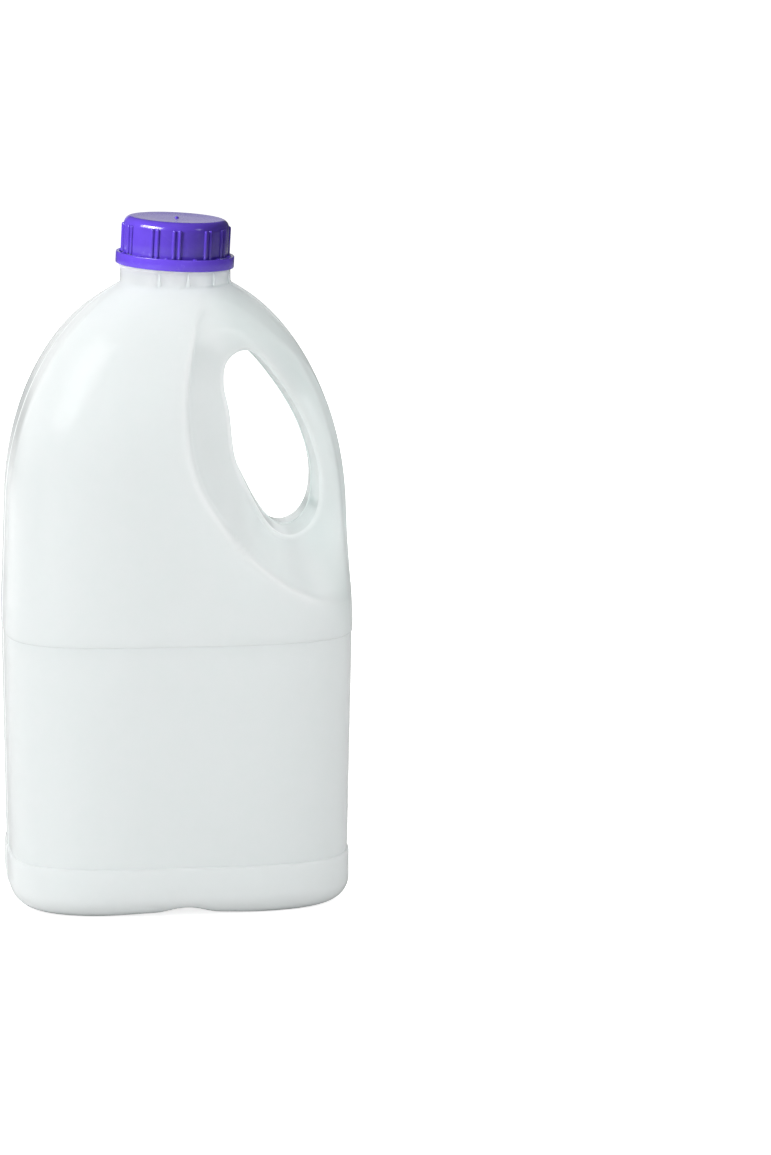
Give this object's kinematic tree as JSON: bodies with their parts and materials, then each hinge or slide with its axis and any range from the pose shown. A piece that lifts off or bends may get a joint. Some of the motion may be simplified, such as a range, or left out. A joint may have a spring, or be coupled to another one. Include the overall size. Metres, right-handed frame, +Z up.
{
  "type": "milk jug",
  "caption": "Full plastic milk jug with a grip hole through its shoulder, a waist step, a rounded base and a ribbed screw cap with tamper band.",
  "frame": {"origin": "middle of the base, on the surface the jug stands on", "axes": "+Z up, +X from the middle towards the handle, -Y the front face the viewer sees with the handle at the right, +Y the back"},
  "size_m": [0.1314, 0.092, 0.2578],
  "materials": {
    "milky_plastic": "milk-white polyethylene, satin, with the milk showing through",
    "violet_plastic": "violet moulded polyethylene, glossy"
  },
  "bodies": {
    "root": {"bottle": "milky_plastic", "cap": "violet_plastic"}
  },
  "joints": []
}
